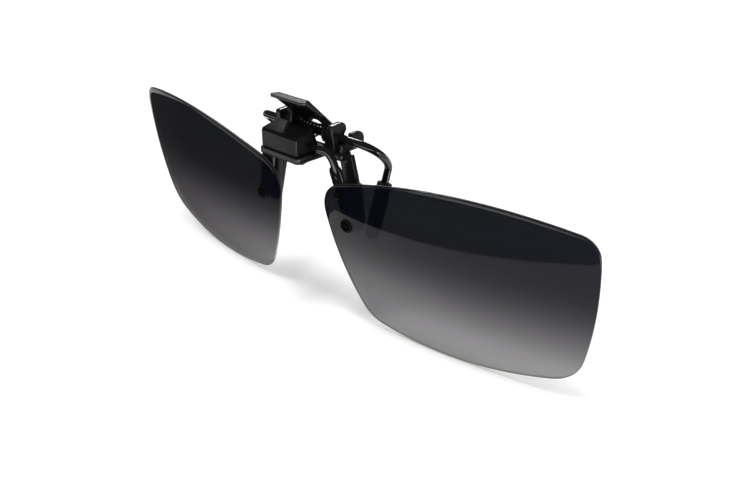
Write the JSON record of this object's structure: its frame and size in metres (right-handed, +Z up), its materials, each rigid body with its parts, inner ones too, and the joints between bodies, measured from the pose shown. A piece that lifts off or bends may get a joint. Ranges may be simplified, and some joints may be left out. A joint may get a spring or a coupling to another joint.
{
  "type": "clip-on flip-up glasses",
  "caption": "Clip-on flip-up glasses: rimless grey gradient lenses on a wire yoke that turns in a small housing, on a sprung clip with rubber-sleeved arms and prongs.",
  "frame": {"origin": "midway between the two jaws, on the plane of the front sleeves' rear faces, where the clip meets the spectacles", "axes": "+X to the right as seen from the front, across both lenses; +Y back towards the wearer; +Z up"},
  "size_m": [0.1314, 0.016, 0.0468],
  "materials": {
    "lens_tint": "polished, grey tint that fades towards the bottom",
    "gloss_black": "gloss black",
    "satin_black": "satin black",
    "rubber_black": "smooth",
    "dark_steel": "oiled spring steel",
    "bush_grey": "translucent grey"
  },
  "bodies": {
    "clip_base": {"hinge_housing": "satin_black", "jaw_bracket": "satin_black", "right_front_sleeve": "rubber_black", "left_front_sleeve": "rubber_black", "right_housing_rivet": "dark_steel", "left_housing_rivet": "dark_steel", "detent_spring": "dark_steel", "spring_anchor_pin": "gloss_black", "torsion_spring": "dark_steel"},
    "lens_carrier": {"lens_yoke": "gloss_black", "right_lens": "lens_tint", "left_lens": "lens_tint", "right_lens_screw": "gloss_black", "left_lens_screw": "gloss_black", "right_lens_bush": "bush_grey", "left_lens_bush": "bush_grey", "right_lens_stud": "gloss_black", "left_lens_stud": "gloss_black"},
    "jaw_lever": {"thumb_lever": "satin_black", "rear_wire": "gloss_black", "right_rear_sleeve": "rubber_black", "left_rear_sleeve": "rubber_black"}
  },
  "joints": [
    {"name": "lens_flip", "type": "hinge", "parent": "clip_base", "child": "lens_carrier", "pos_m": [0, -0.00495, 0.0126], "axis": [-1, 0, 0], "range_deg": [0, 95]},
    {"name": "jaw_open", "type": "hinge", "parent": "clip_base", "child": "jaw_lever", "pos_m": [0, -0.00025, 0.0142], "axis": [1, 0, 0], "range_deg": [0, 30], "stiffness_Nm_per_rad": 0.06, "springref_deg": -28.65, "deforming": ["torsion_spring"]}
  ]
}
